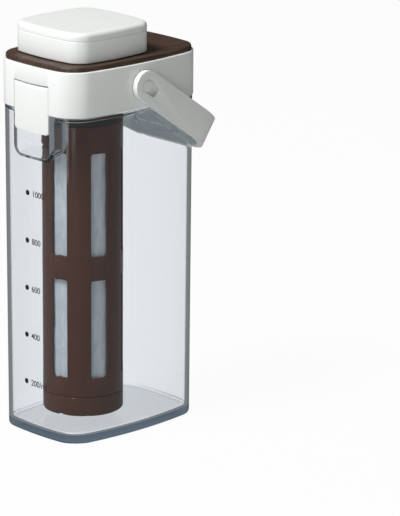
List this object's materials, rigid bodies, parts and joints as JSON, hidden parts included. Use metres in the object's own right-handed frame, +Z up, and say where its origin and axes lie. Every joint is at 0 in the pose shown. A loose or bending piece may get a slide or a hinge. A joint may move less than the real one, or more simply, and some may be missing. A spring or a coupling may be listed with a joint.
{
  "type": "cold brew coffee maker",
  "caption": "Clear rectangular jug with a clip-on white lid, walnut top plate, bail handle and a windowed mesh coffee filter hanging from a square stopper knob.",
  "frame": {"origin": "centre of the jug's flat base, on the surface that it stands on", "axes": "+Z up; the narrow front face with the volume marks and the front latch looks along -Y; +X is the right-hand long side seen from the front; the handle hangs at the rear, +Y"},
  "size_m": [0.086, 0.1233, 0.2517],
  "materials": {
    "clear_plastic": "clear, polished, faintly cool",
    "white_plastic": "satin warm white moulding",
    "walnut": "satin dark walnut, grain along the length",
    "brown_plastic": "gloss coffee brown",
    "grey_rubber": "satin dark grey",
    "silicone": "translucent white silicone",
    "steel": "plain stainless",
    "mesh": "fine white filter mesh"
  },
  "bodies": {
    "root": {"jug": "clear_plastic", "collar": "white_plastic", "wood_top": "walnut", "inner_lid": "white_plastic", "lid_gasket": "silicone", "lid_screws": "steel", "left_pivot_pin": "white_plastic", "right_pivot_pin": "white_plastic", "front_latch_pin": "steel", "rear_latch_pin": "steel"},
    "handle": {"handle": "white_plastic"},
    "front_latch": {"front_latch": "white_plastic"},
    "rear_latch": {"rear_latch": "white_plastic"},
    "knob": {"knob_cover": "white_plastic", "knob_body": "white_plastic", "knob_screws": "steel", "knob_plug": "white_plastic", "knob_gasket": "silicone"},
    "filter": {"filter_neck": "brown_plastic", "filter_seal_ring": "grey_rubber", "filter_frame": "brown_plastic", "filter_mesh": "mesh"},
    "filter_cap": {"filter_cap": "brown_plastic"}
  },
  "joints": [
    {"name": "handle_swing", "type": "hinge", "parent": "root", "child": "handle", "pos_m": [0, 0.0005, 0.2165], "axis": [1, 0, 0], "range_deg": [0, 247.4]},
    {"name": "front_latch_open", "type": "hinge", "parent": "root", "child": "front_latch", "pos_m": [0, -0.0528, 0.217], "axis": [-1, 0, 0], "range_deg": [0, 95]},
    {"name": "rear_latch_open", "type": "hinge", "parent": "root", "child": "rear_latch", "pos_m": [0, 0.0528, 0.217], "axis": [1, 0, 0], "range_deg": [0, 95]},
    {"name": "knob_lift", "type": "slide", "parent": "root", "child": "knob", "axis": [0, 0, 1], "range_m": [0, 0.24]},
    {"name": "filter_bayonet", "type": "hinge", "parent": "knob", "child": "filter", "pos_m": [0, -0.0135, 0.213], "axis": [0, 0, 1], "range_deg": [0, 90]},
    {"name": "cap_twist", "type": "hinge", "parent": "filter", "child": "filter_cap", "pos_m": [0, -0.0135, 0.015], "axis": [0, 0, 1], "continuous": true}
  ]
}
